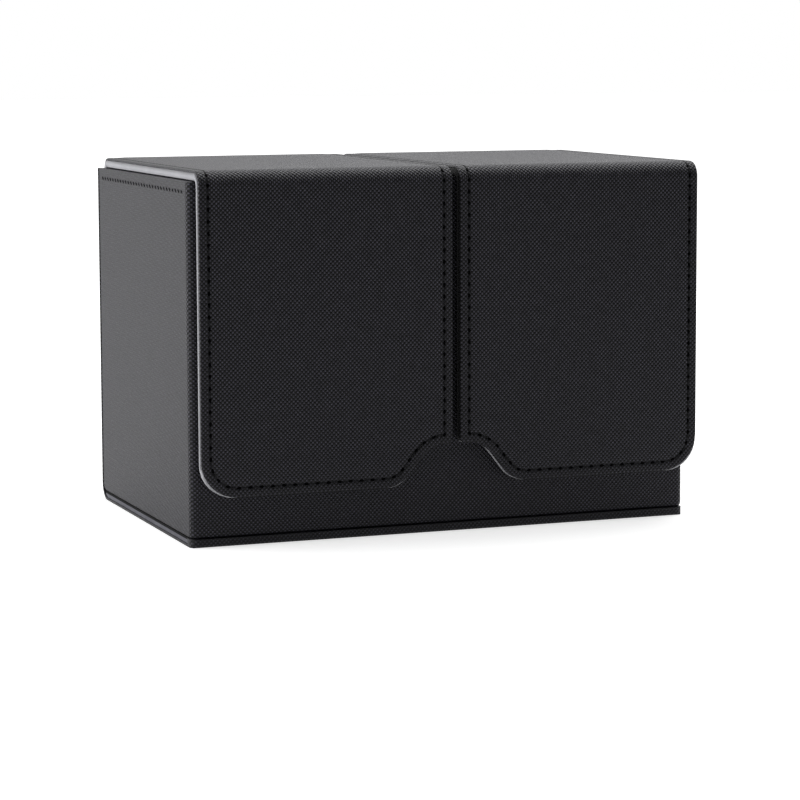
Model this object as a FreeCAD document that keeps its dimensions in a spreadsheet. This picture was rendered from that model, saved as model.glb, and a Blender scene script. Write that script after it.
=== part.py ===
"""Double playing-card box: a stiff case with two card bays, a slim drawer behind them that pulls out of
the right wall, and a wrap-around cover whose two halves fold open as lids with magnetic front flaps.

Frame: +Z up, +Y towards the back, -Y the front with the flaps, +X the right wall with the drawer.
Origin: centre of the whole box at its underside. Millimetres.
"""
import FreeCAD, Part
import math
import os
import Sketcher

SIZES = [
    # name, value, what it is
    ("overall_height", 105.0, "floor to the top of the lids"),
    ("overall_depth", 100.0, "flap face to the back of the cover"),
    ("case_width", 152.0, "outside of the left wall to outside of the right wall, and over both lids"),
    ("cover_shift", 2.0, "how far the lids sit to the right of the case"),
    ("lid_slit", 2.2, "gap between the two lids"),
    ("skin", 0.7, "embossed outer leathercloth"),
    ("wall_board", 1.6, "greyboard of the walls, floor and drawer"),
    ("lid_backing", 2.1, "foam-backed lining of the lids and flaps"),
    ("lid_board", 1.2, "greyboard let into the lid and flap lining"),
    ("base_backing", 1.7, "lining of the cover's base and of its rear folds"),
    ("base_inset", 0.4, "how far the base lining stays in from the base's sides"),
    ("base_board", 0.9, "greyboard let into the base lining"),
    ("board_margin", 5.0, "sewn border round each board of the cover"),
    ("lining", 0.6, "microfibre lining of the bays and the drawer"),
    ("front_fold", 4.5, "outer radius of the fold between lid and flap"),
    ("fold_gap", 0.3, "play between a hinge fold and the panel that turns on it"),
    ("flap_gap", 1.6, "play between the closed flap and the front wall"),
    ("lid_rest", 0.3, "play between the closed lid and the rim"),
    ("base_lip", 0.4, "how far the base stands out in front of the case"),
    ("base_corner", 2.4, "plan radius of the base's front corners"),
    ("lip_wrap", 1.5, "how far the base's turned-up lip runs back along the sides, past the corner"),
    ("case_corner", 2.2, "radius of the case's upright front corners"),
    ("case_foot", 1.2, "radius along the foot of the case and up its rear corners"),
    ("case_heel", 2.8, "radius of the case's lower rear edge"),
    ("rim_round", 0.35, "radius along the rim of the case"),
    ("rim_turn", 7.0, "how far the skin turns down inside the rim"),
    ("foot_turn", 8.0, "how far the skin turns in under the case"),
    ("drawer_bay_depth", 23.0, "front to back of the drawer's bay; the card bays take the rest"),
    ("pocket_corner", 1.5, "upright corner radius of the lined bays and drawer"),
    ("flap_bottom", 14.2, "height of the flaps' lower edge above the floor"),
    ("flap_corner", 10.5, "radius of the flaps' outer lower corners"),
    ("notch_height", 11.7, "rise of the thumb notch above the flaps' lower edge"),
    ("notch_top", 8.0, "half width of the notch where its top corner would be"),
    ("notch_foot", 17.2, "half width of the notch where its foot corner would be"),
    ("notch_round", 8.5, "radius of both bends of the notch"),
    ("slit_corner", 1.5, "radius of the flap corners at the slit"),
    ("magnet_across", 12.0, "diameter of the disc magnets"),
    ("magnet_thick", 1.0, "thickness of the disc magnets"),
    ("magnet_fit", 0.1, "play round and over a disc magnet"),
    ("flap_magnet_pitch", 44.0, "distance between the two magnets of one flap"),
    ("flap_magnet_height", 36.0, "height of the flap magnets above the floor"),
    ("drawer_play", 0.4, "play between the drawer and its bay, at the sides and top"),
    ("drawer_lift", 0.3, "play between the drawer and the floor that it slides on"),
    ("drawer_end_play", 0.6, "play behind the closed drawer"),
    ("drawer_wall_drop", 5.0, "how far the drawer's walls stand below its face"),
    ("drawer_magnet_height", 46.0, "height of the drawer's catch magnets"),
    ("tab_width", 12.0, "width of the pull tab"),
    ("tab_length", 30.0, "length of the pull tab, rivet end to tip"),
    ("tab_thick", 1.0, "thickness of the pull tab"),
    ("tab_rivet_height", 62.0, "height of the pull tab's rivet above the floor"),
    ("rivet_head", 6.0, "diameter of the rivet's head"),
    ("rivet_dome", 0.9, "height of the rivet's domed head"),
    ("rivet_shank", 2.6, "diameter of the rivet's shank"),
    ("full_round_short", 0.01, "how far a full rounding stops short of meeting the next one"),
]

# Share of the wall board's thickness that its rounded corners take.
BOARD_ROUND_SHARE = 0.9

# Millimetres within which two coordinates count as the same.
SAME = 0.01


class Size:
    """A length that knows both its value and the spreadsheet expression that gives it."""

    def __init__(self, value, text):
        self.value = value
        self.text = text

    def __add__(self, other):
        other = size_of(other)
        return Size(self.value + other.value, "(%s + %s)" % (self.text, other.text))

    def __sub__(self, other):
        other = size_of(other)
        return Size(self.value - other.value, "(%s - %s)" % (self.text, other.text))

    def __mul__(self, factor):
        return Size(self.value * factor, "(%s * %r)" % (self.text, factor))

    def __truediv__(self, divisor):
        return Size(self.value / divisor, "(%s / %r)" % (self.text, divisor))

    def __neg__(self):
        return Size(-self.value, "(-1 * %s)" % self.text)


def size_of(number):
    """Turns a plain number into a Size; a Size stays as it is."""
    if isinstance(number, Size):
        return number
    return Size(float(number), "%r" % float(number))


class Sizes:
    """The spreadsheet's cells as attributes: sizes.skin is the Size of the cell with the alias skin."""

    def __init__(self, doc):
        sheet = doc.addObject("Spreadsheet::Sheet", "Sizes")
        for row, (name, value, note) in enumerate(SIZES, start=1):
            sheet.set("A%d" % row, name)
            sheet.set("B%d" % row, "%r" % value)
            sheet.setAlias("B%d" % row, name)
            sheet.set("C%d" % row, note)
            setattr(self, name, Size(value, "Sizes." + name))


doc = FreeCAD.newDocument("card_box")
s = Sizes(doc)
doc.recompute()
ZERO = size_of(0)
pieces = []

# --- Where the main faces lie, worked out once from the sheet -----------------------------------------

half_total = (s.case_width + s.cover_shift) / 2
case_left = -half_total
case_right = case_left + s.case_width
lids_left = case_left + s.cover_shift
lids_right = case_right + s.cover_shift
slit_middle = (lids_left + lids_right) / 2

flap_face = -s.overall_depth / 2
lid_thick = s.skin + s.lid_backing
base_thick = s.skin + s.base_backing
back_face = s.overall_depth / 2
case_front = flap_face + lid_thick + s.flap_gap
case_back = back_face - s.skin

case_bottom = base_thick
rim = s.overall_height - lid_thick - s.lid_rest
turn_bottom = rim - s.rim_turn
board_bottom = case_bottom + s.skin
board_top = rim - s.skin
floor_top = board_bottom + s.wall_board

# Outer and inner faces of the four wall boards.
boards_left = case_left + s.skin
boards_right = case_right - s.skin
boards_front = case_front + s.skin
boards_back = case_back - s.skin
room_left = boards_left + s.wall_board
room_right = boards_right - s.wall_board
room_front = boards_front + s.wall_board
room_back = boards_back - s.wall_board
board_round = s.wall_board * BOARD_ROUND_SHARE

# The card bays, the partition behind them and the drawer's bay behind that.
drawer_bay_front = room_back - s.drawer_bay_depth
partition_front = drawer_bay_front - s.wall_board
divider_left = (case_left + case_right) / 2 - s.wall_board / 2
divider_right = divider_left + s.wall_board
shelf_top = turn_bottom
cover_board_top = shelf_top - s.lining
drawer_bay_top = cover_board_top - s.wall_board

# The drawer inside its bay.
drawer_front = drawer_bay_front + s.drawer_play
drawer_back = room_back - s.drawer_play
drawer_bottom = floor_top + s.drawer_lift
drawer_top = drawer_bay_top - s.drawer_play
drawer_left = room_left + s.drawer_end_play
face_back = case_right - s.skin - s.wall_board
trough_top = drawer_top - s.drawer_wall_drop

# The flaps and the folds that they and the lids turn on. The rear fold starts level with the rim.
rear_fold = lid_thick + s.lid_rest
flap_top = s.overall_height - s.front_fold - s.fold_gap
lid_front = flap_face + s.front_fold
lid_back = back_face - rear_fold - s.fold_gap
notch_ceiling = s.flap_bottom + s.notch_height

# The cover's fixed half: where its base starts at the front, where its lip ends at the sides, the heel
# between base and back, and where the back meets the rear folds.
base_front = case_front - s.base_lip
lip_end = base_front + s.base_corner + s.lip_wrap
heel_fold = base_thick + s.case_heel
back_top = s.overall_height - rear_fold


# --- Small helpers ------------------------------------------------------------------------------------


def keep(obj, label):
    """Marks an object as one finished piece, which is written to parts/label.step."""
    obj.Label = label
    pieces.append(obj)
    return obj


def bind(obj, **sizes):
    """Binds properties of an object to sheet expressions; a double underscore stands for a dot."""
    for path, size in sizes.items():
        obj.setExpression(path.replace("__", "."), size_of(size).text)
    return obj


def block(name, x, y, z):
    """A Part::Box between pairs of faces along each axis."""
    box = doc.addObject("Part::Box", name)
    bind(box, Length=x[1] - x[0], Width=y[1] - y[0], Height=z[1] - z[0])
    bind(box, Placement__Base__x=x[0], Placement__Base__y=y[0], Placement__Base__z=z[0])
    return box


TURNS = {
    "x": FreeCAD.Rotation(FreeCAD.Vector(0, 1, 0), 90),
    "y": FreeCAD.Rotation(FreeCAD.Vector(1, 0, 0), -90),
    "z": FreeCAD.Rotation(),
}


def disc(name, along, start, across, thick):
    """A Part::Cylinder from a point, along +x, +y or +z."""
    made = doc.addObject("Part::Cylinder", name)
    made.Placement = FreeCAD.Placement(FreeCAD.Vector(), TURNS[along])
    bind(made, Radius=size_of(across) / 2, Height=thick)
    bind(made, Placement__Base__x=start[0], Placement__Base__y=start[1], Placement__Base__z=start[2])
    return made


def cut(name, base, tools):
    """A base with one or several tools taken out of it."""
    if len(tools) > 1:
        tool = doc.addObject("Part::MultiFuse", name + "_tools")
        tool.Shapes = tools
    else:
        tool = tools[0]
    made = doc.addObject("Part::Cut", name)
    made.Base = base
    made.Tool = tool
    return made


def group(name, parts):
    """Separate solids that share one node."""
    made = doc.addObject("Part::Compound", name)
    made.Links = parts
    return made


def new_body(name):
    return doc.addObject("PartDesign::Body", name)


def sketch_on(body, name, role, height=ZERO):
    """A sketch on one of the body's own origin planes, moved along that plane's normal."""
    sketch = body.newObject("Sketcher::SketchObject", name)
    plane = [f for f in body.Origin.OriginFeatures if f.Role == role][0]
    sketch.AttachmentSupport = [(plane, "")]
    sketch.MapMode = "FlatFace"
    bind(sketch, AttachmentOffset__Base__z=height)
    return sketch


def vector(u, v):
    return FreeCAD.Vector(u, v, 0)


def pin_point(sketch, geometry, position, u, v):
    """Fixes a point of the sketch at two sheet expressions."""
    for kind, size in (("DistanceX", u), ("DistanceY", v)):
        index = sketch.addConstraint(Sketcher.Constraint(kind, geometry, position, size.value))
        sketch.setExpression("Constraints[%d]" % index, size.text)


def outline(sketch, corners):
    """A closed loop of straight edges through corners (u, v, radius); a corner with no radius is sharp.

    A rounded corner is an arc tangent to both of its edges, and its sharp position is a construction
    point that both edges are held to, so that every corner stays where the sheet puts it.
    """
    count = len(corners)
    sharp = [FreeCAD.Vector(c[0].value, c[1].value, 0) for c in corners]
    ends = []
    for i, corner in enumerate(corners):
        towards = [(sharp[i - 1] - sharp[i]).normalize(), (sharp[(i + 1) % count] - sharp[i]).normalize()]
        reach = 0.0
        if corner[2] is not None:
            half_angle = towards[0].getAngle(towards[1]) / 2
            reach = corner[2].value / math.tan(half_angle)
        ends.append((sharp[i] + towards[0] * reach, sharp[i] + towards[1] * reach))
    lines = []
    for i in range(count):
        following = (i + 1) % count
        lines.append(sketch.addGeometry(Part.LineSegment(ends[i][1], ends[following][0]), False))
    for i, corner in enumerate(corners):
        before = lines[i - 1]
        after = lines[i]
        if corner[2] is None:
            sketch.addConstraint(Sketcher.Constraint("Coincident", before, 2, after, 1))
            pin_point(sketch, after, 1, corner[0], corner[1])
            continue
        middle = arc_middle(sharp[i], ends[i], corner[2].value)
        arc, start, finish = add_arc(sketch, ends[i][0], middle, ends[i][1])
        sketch.addConstraint(Sketcher.Constraint("Tangent", before, 2, arc, start))
        sketch.addConstraint(Sketcher.Constraint("Tangent", after, 1, arc, finish))
        index = sketch.addConstraint(Sketcher.Constraint("Radius", arc, corner[2].value))
        sketch.setExpression("Constraints[%d]" % index, corner[2].text)
        point = sketch.addGeometry(Part.Point(sharp[i]), True)
        sketch.addConstraint(Sketcher.Constraint("PointOnObject", point, 1, before))
        sketch.addConstraint(Sketcher.Constraint("PointOnObject", point, 1, after))
        pin_point(sketch, point, 1, corner[0], corner[1])


def arc_middle(corner, ends, radius):
    """The middle of the tangent arc that rounds a corner."""
    chord_middle = (ends[0] + ends[1]) / 2
    inward = (chord_middle - corner).normalize()
    half_chord = (ends[1] - ends[0]).Length / 2
    centre_to_chord = max(radius * radius - half_chord * half_chord, 0.0) ** 0.5
    return chord_middle - inward * (radius - centre_to_chord)


def add_arc(sketch, start, middle, finish):
    """Adds an arc counter-clockwise, as a sketch wants it, and tells which of its ends each point is."""
    first = middle - start
    second = finish - middle
    if first.x * second.y - first.y * second.x > 0:
        return sketch.addGeometry(Part.Arc(start, middle, finish), False), 1, 2
    return sketch.addGeometry(Part.Arc(finish, middle, start), False), 2, 1


def rectangle(sketch, u, v, radius=None):
    """A rectangle between two pairs of sheet expressions."""
    outline(sketch, [(u[0], v[0], radius), (u[1], v[0], radius), (u[1], v[1], radius), (u[0], v[1], radius)])


def round_fronted(sketch, u, v, radius):
    """A rectangle in plan with its two front corners rounded."""
    outline(sketch, [(u[0], v[0], radius), (u[1], v[0], radius), (u[1], v[1], None), (u[0], v[1], None)])


def pad(body, name, sketch, length, backwards=False):
    """Pads a sketch along its plane's normal, or against it."""
    feature = body.newObject("PartDesign::Pad", name)
    feature.Profile = sketch
    feature.Reversed = backwards
    bind(feature, Length=length)
    return feature


def pocket(body, name, sketch, length, forwards=False):
    """Cuts a sketch against its plane's normal, or along it."""
    feature = body.newObject("PartDesign::Pocket", name)
    feature.Profile = sketch
    feature.Reversed = forwards
    bind(feature, Length=length)
    return feature


def round_edges(body, name, base, radius, wanted):
    """Fillets those edges of a feature whose middle the test picks."""
    doc.recompute()
    names = []
    for number, edge in enumerate(base.Shape.Edges, start=1):
        if wanted(edge.valueAt((edge.FirstParameter + edge.LastParameter) / 2)):
            names.append("Edge%d" % number)
    feature = body.newObject("PartDesign::Fillet", name)
    feature.Base = (base, names)
    bind(feature, Radius=radius)
    return feature


def near(value, size):
    """True where a coordinate is at a size."""
    return abs(value - size.value) < SAME


# --- The case -----------------------------------------------------------------------------------------


def make_case_skin():
    """The leathercloth round the four walls: turned under the floor, over the rim and down inside it."""
    body = new_body("case_outside")
    plan = sketch_on(body, "case_plan", "XY_Plane", case_bottom)
    round_fronted(plan, (case_left, case_right), (case_front, case_back), s.case_corner)
    walls = pad(body, "case_block", plan, rim - case_bottom)
    heel_edge = lambda p: near(p.z, case_bottom) and near(p.y, case_back)
    heel = round_edges(body, "case_heel_round", walls, s.case_heel, heel_edge)
    # This fillet runs on from the front edge along both sides, round the heel and up the rear corners.
    foot_edge = lambda p: near(p.z, case_bottom) and near(p.y, case_front)
    foot = round_edges(body, "case_foot_round", heel, s.case_foot, foot_edge)
    round_edges(body, "case_rim_round", foot, s.rim_round, lambda p: near(p.z, rim))

    # Room for the wall boards: one block below the turned-in rim, and a slot up into it
    room = new_body("board_room")
    plan = sketch_on(room, "board_room_plan", "XY_Plane", board_bottom)
    round_fronted(plan, (boards_left, boards_right), (boards_front, boards_back), board_round)
    space = pad(room, "board_room_block", plan, turn_bottom - board_bottom)
    room_heel_edge = lambda p: near(p.z, board_bottom) and near(p.y, boards_back)
    round_edges(room, "board_room_heel_round", space, board_round, room_heel_edge)
    slot = new_body("rim_slot")
    plan = sketch_on(slot, "rim_slot_plan", "XY_Plane", turn_bottom)
    round_fronted(plan, (boards_left, boards_right), (boards_front, boards_back), board_round)
    rectangle(plan, (room_left, room_right), (room_front, room_back))
    pad(slot, "rim_slot_block", plan, board_top - turn_bottom)

    mouth = new_body("mouth")
    plan = sketch_on(mouth, "mouth_plan", "XY_Plane", turn_bottom)
    mouth_x = (room_left + s.lining, room_right - s.lining)
    rectangle(plan, mouth_x, (room_front + s.lining, room_back - s.lining), s.pocket_corner)
    pad(mouth, "mouth_block", plan, rim - turn_bottom)
    under = block(
        "foot_opening",
        (case_left + s.foot_turn, case_right - s.foot_turn),
        (case_front + s.foot_turn, case_back - s.foot_turn),
        (case_bottom, board_bottom),
    )
    window_x = (boards_right, case_right)
    window = block("drawer_window", window_x, (drawer_bay_front, room_back), (floor_top, drawer_bay_top))
    keep(cut("case_sheet", body, [room, slot, mouth, under, window]), "case_skin")


def flap_magnet_places():
    """Middle of each flap magnet, left to right."""
    lid_width = (s.case_width - s.lid_slit) / 2
    places = []
    for lid_middle in (lids_left + lid_width / 2, lids_right - lid_width / 2):
        places.append(lid_middle - s.flap_magnet_pitch / 2)
        places.append(lid_middle + s.flap_magnet_pitch / 2)
    return places


def make_wall_boards():
    """Front, rear, left and right greyboards. The front one is bored for the flap magnets' partners, the
    left one for the drawer's catch, and the right one leaves the drawer's window open."""
    blank = new_body("front_blank")
    plan = sketch_on(blank, "front_wall_plan", "XY_Plane", board_bottom)
    round_fronted(plan, (boards_left, boards_right), (boards_front, room_front), board_round)
    pad(blank, "front_wall_pad", plan, board_top - board_bottom)
    seats = []
    for number, x in enumerate(flap_magnet_places(), start=1):
        seats.append(
            disc(
                "front_seat_%d" % number,
                "y",
                (x, boards_front, s.flap_magnet_height),
                s.magnet_across + s.magnet_fit * 2,
                s.magnet_thick + s.magnet_fit,
            )
        )
    keep(cut("front_wall", blank, seats), "front_wall_board")

    body = new_body("rear_wall")
    section = sketch_on(body, "rear_wall_section", "YZ_Plane", boards_left)
    outline(
        section,
        [
            (room_back, board_bottom, None),
            (boards_back, board_bottom, board_round),
            (boards_back, board_top, None),
            (room_back, board_top, None),
        ],
    )
    pad(body, "rear_wall_pad", section, boards_right - boards_left)
    keep(body, "rear_wall_board")

    blank = block("left_blank", (boards_left, room_left), (room_front, room_back), (board_bottom, board_top))
    seat = disc(
        "catch_seat",
        "x",
        (room_left - s.magnet_thick - s.magnet_fit, drawer_middle(), s.drawer_magnet_height),
        s.magnet_across + s.magnet_fit * 2,
        s.magnet_thick + s.magnet_fit,
    )
    keep(cut("left_wall", blank, [seat]), "left_wall_board")

    body = new_body("right_wall")
    side = sketch_on(body, "right_wall_outline", "YZ_Plane", room_right)
    outline(
        side,
        [
            (room_front, board_bottom, None),
            (drawer_bay_front, board_bottom, None),
            (drawer_bay_front, drawer_bay_top, None),
            (room_back, drawer_bay_top, None),
            (room_back, board_top, None),
            (room_front, board_top, None),
        ],
    )
    pad(body, "right_wall_pad", side, s.wall_board)
    keep(body, "right_wall_board")


def drawer_middle():
    """Half way across the drawer, front to back."""
    return (drawer_front + drawer_back) / 2


def make_floor_board():
    """The floor between the walls, with a tongue that carries it out under the drawer's window."""
    body = new_body("floor")
    plan = sketch_on(body, "floor_outline", "XY_Plane", board_bottom)
    outline(
        plan,
        [
            (room_left, room_front, None),
            (room_right, room_front, None),
            (room_right, drawer_bay_front, None),
            (boards_right, drawer_bay_front, None),
            (boards_right, room_back, None),
            (room_left, room_back, None),
        ],
    )
    pad(body, "floor_pad", plan, s.wall_board)
    keep(body, "floor_board")


def make_inner_boards():
    """The divider between the card bays, the partition behind them and the cover over the drawer's bay."""
    height = (floor_top, cover_board_top)
    divider = block("divider", (divider_left, divider_right), (room_front, partition_front), height)
    keep(divider, "centre_divider_board")
    partition = block("partition", (room_left, room_right), (partition_front, drawer_bay_front), height)
    keep(partition, "drawer_partition_board")
    cover = block(
        "bay_cover",
        (room_left, room_right),
        (drawer_bay_front, room_back),
        (drawer_bay_top, cover_board_top),
    )
    keep(cover, "drawer_bay_cover_board")


def make_bay_lining():
    """One microfibre lining: two card pockets, over the divider between them, and the shelf behind."""
    body = new_body("bay_lining")
    outer = sketch_on(body, "lining_outside", "XY_Plane", floor_top)
    rectangle(outer, (room_left, room_right), (room_front, room_back))
    pad(body, "lining_block", outer, shelf_top - floor_top)

    pockets = sketch_on(body, "card_pockets", "XY_Plane", shelf_top)
    depth = (room_front + s.lining, partition_front - s.lining)
    rectangle(pockets, (room_left + s.lining, divider_left - s.lining), depth, s.pocket_corner)
    rectangle(pockets, (divider_right + s.lining, room_right - s.lining), depth, s.pocket_corner)
    pocket(body, "card_pockets_cut", pockets, shelf_top - floor_top - s.lining)

    under = sketch_on(body, "board_slots", "XY_Plane", floor_top)
    outline(
        under,
        [
            (divider_left, room_front, None),
            (divider_right, room_front, None),
            (divider_right, partition_front, None),
            (room_right, partition_front, None),
            (room_right, room_back, None),
            (room_left, room_back, None),
            (room_left, partition_front, None),
            (divider_left, partition_front, None),
        ],
    )
    pocket(body, "board_slots_cut", under, cover_board_top - floor_top, forwards=True)
    keep(body, "bay_lining")


def make_case_magnets():
    """The discs in the front wall that the flap magnets meet, and the drawer's catch in the left wall."""
    discs = []
    for number, x in enumerate(flap_magnet_places(), start=1):
        start = (x, boards_front, s.flap_magnet_height)
        discs.append(disc("front_magnet_%d" % number, "y", start, s.magnet_across, s.magnet_thick))
    keep(group("front_magnets", discs), "front_wall_magnets")
    start = (room_left - s.magnet_thick, drawer_middle(), s.drawer_magnet_height)
    keep(disc("catch", "x", start, s.magnet_across, s.magnet_thick), "drawer_catch_magnet")


# --- The cover's base and back ------------------------------------------------------------------------


def cover_plan(name):
    """The cover in plan as a block: square at the back, with rounded corners at the front."""
    body = new_body(name)
    plan = sketch_on(body, name + "_outline", "XY_Plane")
    round_fronted(plan, (case_left, case_right), (base_front, back_face), s.base_corner)
    pad(body, name + "_pad", plan, s.overall_height)
    return body


def core_plan(name, inset, height):
    """What the cover's skin wraps, in plan, as a block: inside the turned-up lip as far as that runs
    round the front corners, and in from the open sides behind it by an inset."""
    body = new_body(name)
    plan = sketch_on(body, name + "_outline", "XY_Plane")
    corner = s.base_corner - s.skin
    outline(
        plan,
        [
            (case_left + inset, lip_end, None),
            (case_left + s.skin, lip_end, None),
            (case_left + s.skin, base_front + s.skin, corner),
            (case_right - s.skin, base_front + s.skin, corner),
            (case_right - s.skin, lip_end, None),
            (case_right - inset, lip_end, None),
            (case_right - inset, back_face, None),
            (case_left + inset, back_face, None),
        ],
    )
    pad(body, name + "_pad", plan, height)
    return body


def cover_side(name, depth, front_round):
    """The cover seen from the side as a block across the case, from a depth below its outer face: level
    base, round heel, upright back."""
    body = new_body(name)
    front = base_front + depth
    back = back_face - depth
    section = sketch_on(body, name + "_outline", "YZ_Plane", case_left)
    outline(
        section,
        [
            (front, depth, front_round),
            (back, depth, heel_fold - depth),
            (back, back_top, None),
            (front, back_top, None),
        ],
    )
    pad(body, name + "_pad", section, case_right - case_left)
    return body


def common(name, base, tool):
    """What two blocks share."""
    made = doc.addObject("Part::Common", name)
    made.Base = base
    made.Tool = tool
    return made


def make_rear_cover():
    """The fixed half of the cover: one sheet of leathercloth with a lip at the front, under the case,
    round its heel and up its back; the lining under the case; and the greyboard let into that lining."""
    whole = common("cover_whole", cover_side("cover_outside", ZERO, s.skin), cover_plan("cover_outline"))
    core_shape = core_plan("cover_core_plan", ZERO, s.overall_height)
    core = common("cover_core", cover_side("cover_inside", s.skin, None), core_shape)
    heel_start = back_face - heel_fold
    across = (case_left, case_right)
    over = block("above_base", across, (base_front, heel_start), (base_thick, s.overall_height))
    keep(cut("cover_sheet", whole, [core, over]), "cover_skin")

    lining_shape = core_plan("base_lining_plan", s.base_inset, base_thick)
    lining = common("base_lining_blank", cover_side("base_lining_side", s.skin, None), lining_shape)
    across = (case_left + s.board_margin, case_right - s.board_margin)
    along = (base_front + s.skin + s.board_margin, heel_start - s.board_margin)
    layer = (s.skin, s.skin + s.base_board)
    keep(cut("base_lining_bedded", lining, [block("base_bed", across, along, layer)]), "cover_lining")
    keep(block("base_stiffener", across, along, layer), "base_board")


# --- The lids and flaps -------------------------------------------------------------------------------


def quarter_ring(sketch, centre, outer, inner, side):
    """A quarter of a ring about a centre, from straight above it round to the given side, -1 or +1."""
    centre_u, centre_v = centre
    high = []
    level = []
    for radius in (outer, inner):
        top = vector(centre_u.value, centre_v.value + radius.value)
        end = vector(centre_u.value + radius.value * side, centre_v.value)
        reach = radius.value * 0.5 ** 0.5
        middle = vector(centre_u.value + reach * side, centre_v.value + reach)
        arc, at_top, at_end = add_arc(sketch, top, middle, end)
        pin_point(sketch, arc, 3, centre_u, centre_v)
        index = sketch.addConstraint(Sketcher.Constraint("Radius", arc, radius.value))
        sketch.setExpression("Constraints[%d]" % index, radius.text)
        sketch.addConstraint(Sketcher.Constraint("Vertical", arc, at_top, arc, 3))
        sketch.addConstraint(Sketcher.Constraint("Horizontal", arc, at_end, arc, 3))
        high.append((arc, at_top, top))
        level.append((arc, at_end, end))
    for (first, first_end, start), (second, second_end, finish) in (high, level):
        line = sketch.addGeometry(Part.LineSegment(start, finish), False)
        sketch.addConstraint(Sketcher.Constraint("Coincident", line, 1, first, first_end))
        sketch.addConstraint(Sketcher.Constraint("Coincident", line, 2, second, second_end))


def make_fold(name, across, edge, side, radius, depth, thick):
    """A quarter round of sheet along X, between a level panel and an upright one whose outer faces meet
    at an edge (y, z) on the given side. This layer starts at a depth below the outer face."""
    body = new_body(name)
    section = sketch_on(body, name + "_section", "YZ_Plane", across[0])
    centre = (edge[0] - radius * side, edge[1] - radius)
    quarter_ring(section, centre, radius - depth, radius - depth - thick, side)
    pad(body, name + "_pad", section, across[1] - across[0])
    return keep(body, name)


def flap_outline(sketch, outer_x, slit_x, inward, margin=ZERO, rounded=True):
    """The flap's front outline, drawn in by a margin. Inward is +1 where the slit lies to the right."""
    bottom = s.flap_bottom + margin
    ceiling = notch_ceiling + margin
    top = flap_top - margin
    outer = outer_x + margin * inward
    slit = slit_x - margin * inward
    # The notch's slope moves square to itself, which shifts its two corners sideways.
    run = s.notch_foot.value - s.notch_top.value
    slope = (run * run + s.notch_height.value ** 2) ** 0.5
    shift = margin * ((slope - run) / s.notch_height.value)
    foot = slit_middle - (s.notch_foot + shift) * inward
    crest = slit_middle - (s.notch_top + shift) * inward
    outline(
        sketch,
        [
            (outer, top, None),
            (outer, bottom, s.flap_corner - margin if rounded else None),
            (foot, bottom, s.notch_round if rounded else None),
            (crest, ceiling, s.notch_round if rounded else None),
            (slit, ceiling, s.slit_corner if rounded else None),
            (slit, top, None),
        ],
    )


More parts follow.
